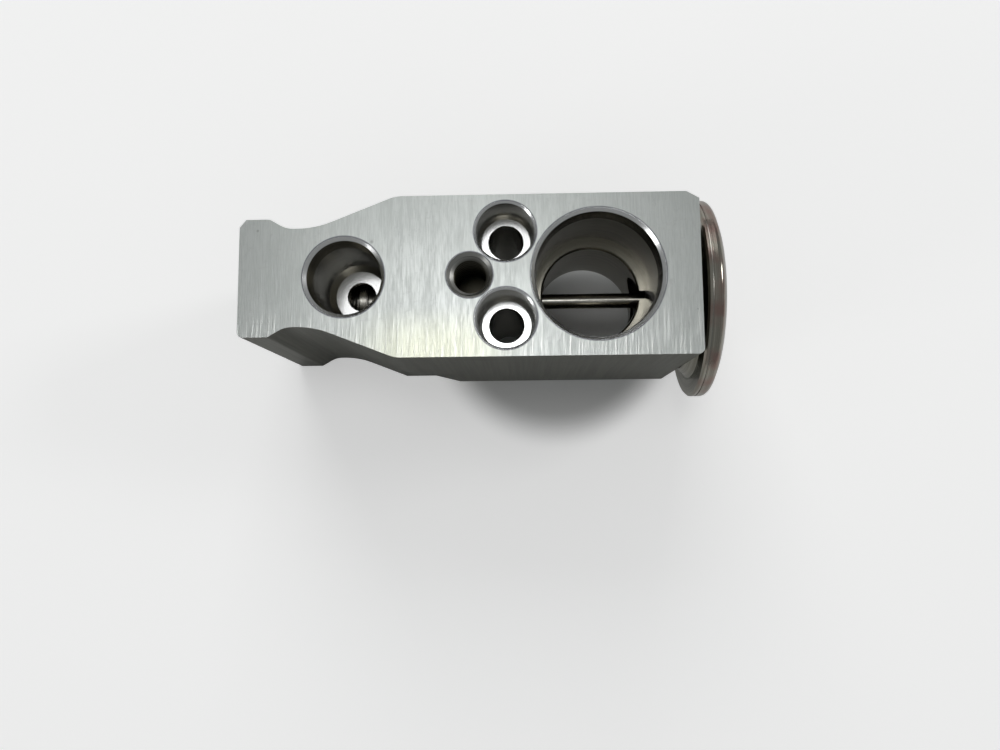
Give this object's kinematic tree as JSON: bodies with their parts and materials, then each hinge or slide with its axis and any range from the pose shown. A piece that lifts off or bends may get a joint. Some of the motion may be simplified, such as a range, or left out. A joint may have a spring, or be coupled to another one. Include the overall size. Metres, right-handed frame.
{
  "type": "thermostatic expansion valve",
  "caption": "Block-type refrigerant expansion valve: aluminium block with two through ports, flange screw holes and a round diaphragm head that meters liquid by vapour temperature.",
  "frame": {"origin": "where the axis of the suction passage meets the block's back face", "axes": "+X along the valve axis towards the power head, +Y across the block, +Z out of the front face"},
  "size_m": [0.0771, 0.0336, 0.0375],
  "materials": {
    "block_aluminium": "sawn and brushed aluminium with fine cross marks",
    "head_steel": "bright pressed stainless steel",
    "thin_steel": "thin rolled stainless sheet",
    "turned_aluminium": "turned aluminium",
    "weld_steel": "welded stainless plug",
    "seal_rubber": "black oil-proof rubber",
    "rod_steel": "ground stainless rod",
    "slip_plastic": "white slippery plastic",
    "washer_steel": "punched steel",
    "spring_steel": "drawn spring steel",
    "hard_steel": "hardened and polished steel",
    "cup_steel": "turned stainless steel",
    "screw_steel": "turned steel with a cut thread"
  },
  "bodies": {
    "housing": {"valve_body": "block_aluminium", "lower_cup": "head_steel", "upper_cup": "head_steel", "diaphragm": "thin_steel", "fill_plug": "weld_steel", "head_o_ring": "seal_rubber", "rod_seal_ring": "seal_rubber", "rod_backup_ring": "slip_plastic", "rod_washer": "washer_steel", "seal_clip": "spring_steel", "orifice_seat": "hard_steel", "superheat_spring": "spring_steel"},
    "plunger": {"operating_rod": "rod_steel", "stop_disc": "turned_aluminium", "valve_ball": "hard_steel", "ball_cup": "cup_steel", "damper_spring": "spring_steel"},
    "screw_ring": {"screw_o_ring": "seal_rubber"},
    "adjuster": {"adjusting_screw": "screw_steel"}
  },
  "joints": [
    {"name": "valve_stroke", "type": "slide", "parent": "housing", "child": "plunger", "axis": [-1, 0, 0], "range_m": [0, 0.0008], "stiffness_N_per_m": 6000, "deforming": ["superheat_spring", "diaphragm"]},
    {"name": "adjuster_advance", "type": "slide", "parent": "housing", "child": "screw_ring", "axis": [1, 0, 0], "range_m": [-0.0005, 0.001]},
    {"name": "adjuster_turn", "type": "hinge", "parent": "screw_ring", "child": "adjuster", "pos_m": [-0.05, 0, 0.0133], "axis": [1, 0, 0], "range_deg": [-180, 360]}
  ],
  "couplings": [
    {"joint": "adjuster_turn", "follows": "adjuster_advance", "rad_per_m": 6283.2}
  ]
}
